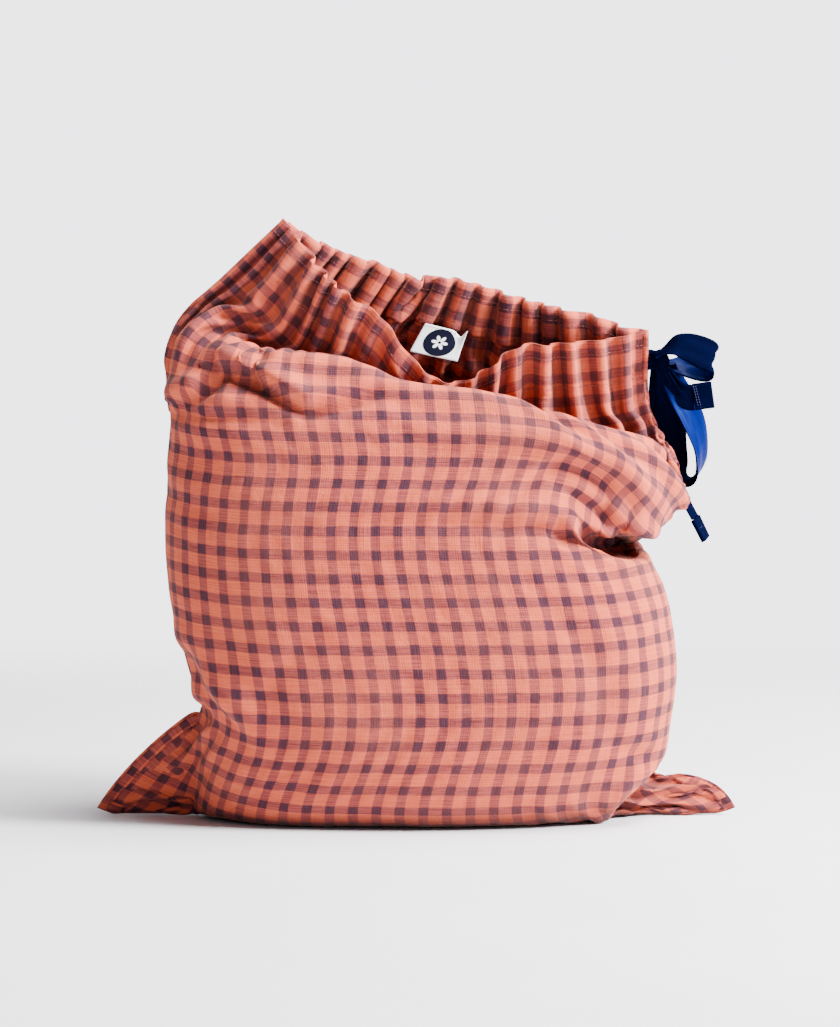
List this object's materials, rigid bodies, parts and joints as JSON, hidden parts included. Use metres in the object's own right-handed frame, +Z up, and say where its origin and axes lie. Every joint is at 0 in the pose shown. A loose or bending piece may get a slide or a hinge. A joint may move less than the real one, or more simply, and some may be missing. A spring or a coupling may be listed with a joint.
{
  "type": "fabric gift sack",
  "caption": "Drawstring fabric gift sack with a gathered leaning collar, a ribbon bow at one end, a sewn-in label and flattened bottom corners, filled and standing.",
  "frame": {"origin": "centre of the sack's box on the surface it stands on", "axes": "+X along the bottom seam towards the ribbon's side, +Y from front to back, +Z up"},
  "size_m": [0.384, 0.15, 0.364],
  "materials": {
    "gingham_linen": "matte",
    "velvet_ribbon": "matte",
    "label_satin": "satin",
    "label_print": "satin",
    "thread": "matte"
  },
  "bodies": {
    "sack": {"front_panel": "gingham_linen", "back_panel": "gingham_linen", "left_side_seam": "gingham_linen", "right_side_seam": "gingham_linen", "bottom_seam": "gingham_linen"},
    "collar": {"front_collar": "gingham_linen", "back_collar": "gingham_linen", "front_facing": "gingham_linen", "back_facing": "gingham_linen", "channel_ribbon": "velvet_ribbon", "front_channel_stitching": "thread", "back_channel_stitching": "thread", "exit_bar_tacks": "thread", "label_stitching": "thread"},
    "label": {"label": "label_satin", "label_emblem": "label_print"},
    "bow": {"ribbon_run": "velvet_ribbon", "bow_knot": "velvet_ribbon"},
    "upper_loop": {"upper_loop": "velvet_ribbon"},
    "hanging_loop": {"hanging_loop": "velvet_ribbon"},
    "long_tail": {"long_tail": "velvet_ribbon", "long_tail_hem": "velvet_ribbon"},
    "short_tail": {"short_tail": "velvet_ribbon", "short_tail_hem": "velvet_ribbon"}
  },
  "joints": [
    {"name": "collar_lean", "type": "hinge", "parent": "sack", "child": "collar", "pos_m": [0.01245, 0, 0.27509], "axis": [0.955, 0, -0.2965], "range_deg": [-8, 8]},
    {"name": "label_flip", "type": "hinge", "parent": "collar", "child": "label", "pos_m": [0.01441, 0.0294, 0.2949], "axis": [-0.955, 0, 0.2965], "range_deg": [0, 60]},
    {"name": "ribbon_pull", "type": "slide", "parent": "collar", "child": "bow", "axis": [0.955, 0, -0.2965], "range_m": [0, 0.04]},
    {"name": "upper_loop_swing", "type": "hinge", "parent": "bow", "child": "upper_loop", "pos_m": [0.14586, 0, 0.27764], "axis": [0, -1, 0], "range_deg": [0, 15]},
    {"name": "hanging_loop_swing", "type": "hinge", "parent": "bow", "child": "hanging_loop", "pos_m": [0.14586, 0, 0.27764], "axis": [0, -1, 0], "range_deg": [0, 25]},
    {"name": "long_tail_swing", "type": "hinge", "parent": "bow", "child": "long_tail", "pos_m": [0.14586, 0, 0.27764], "axis": [0, -1, 0], "range_deg": [0, 30]},
    {"name": "short_tail_swing", "type": "hinge", "parent": "bow", "child": "short_tail", "pos_m": [0.14586, 0, 0.27764], "axis": [0, -1, 0], "range_deg": [0, 25]}
  ]
}
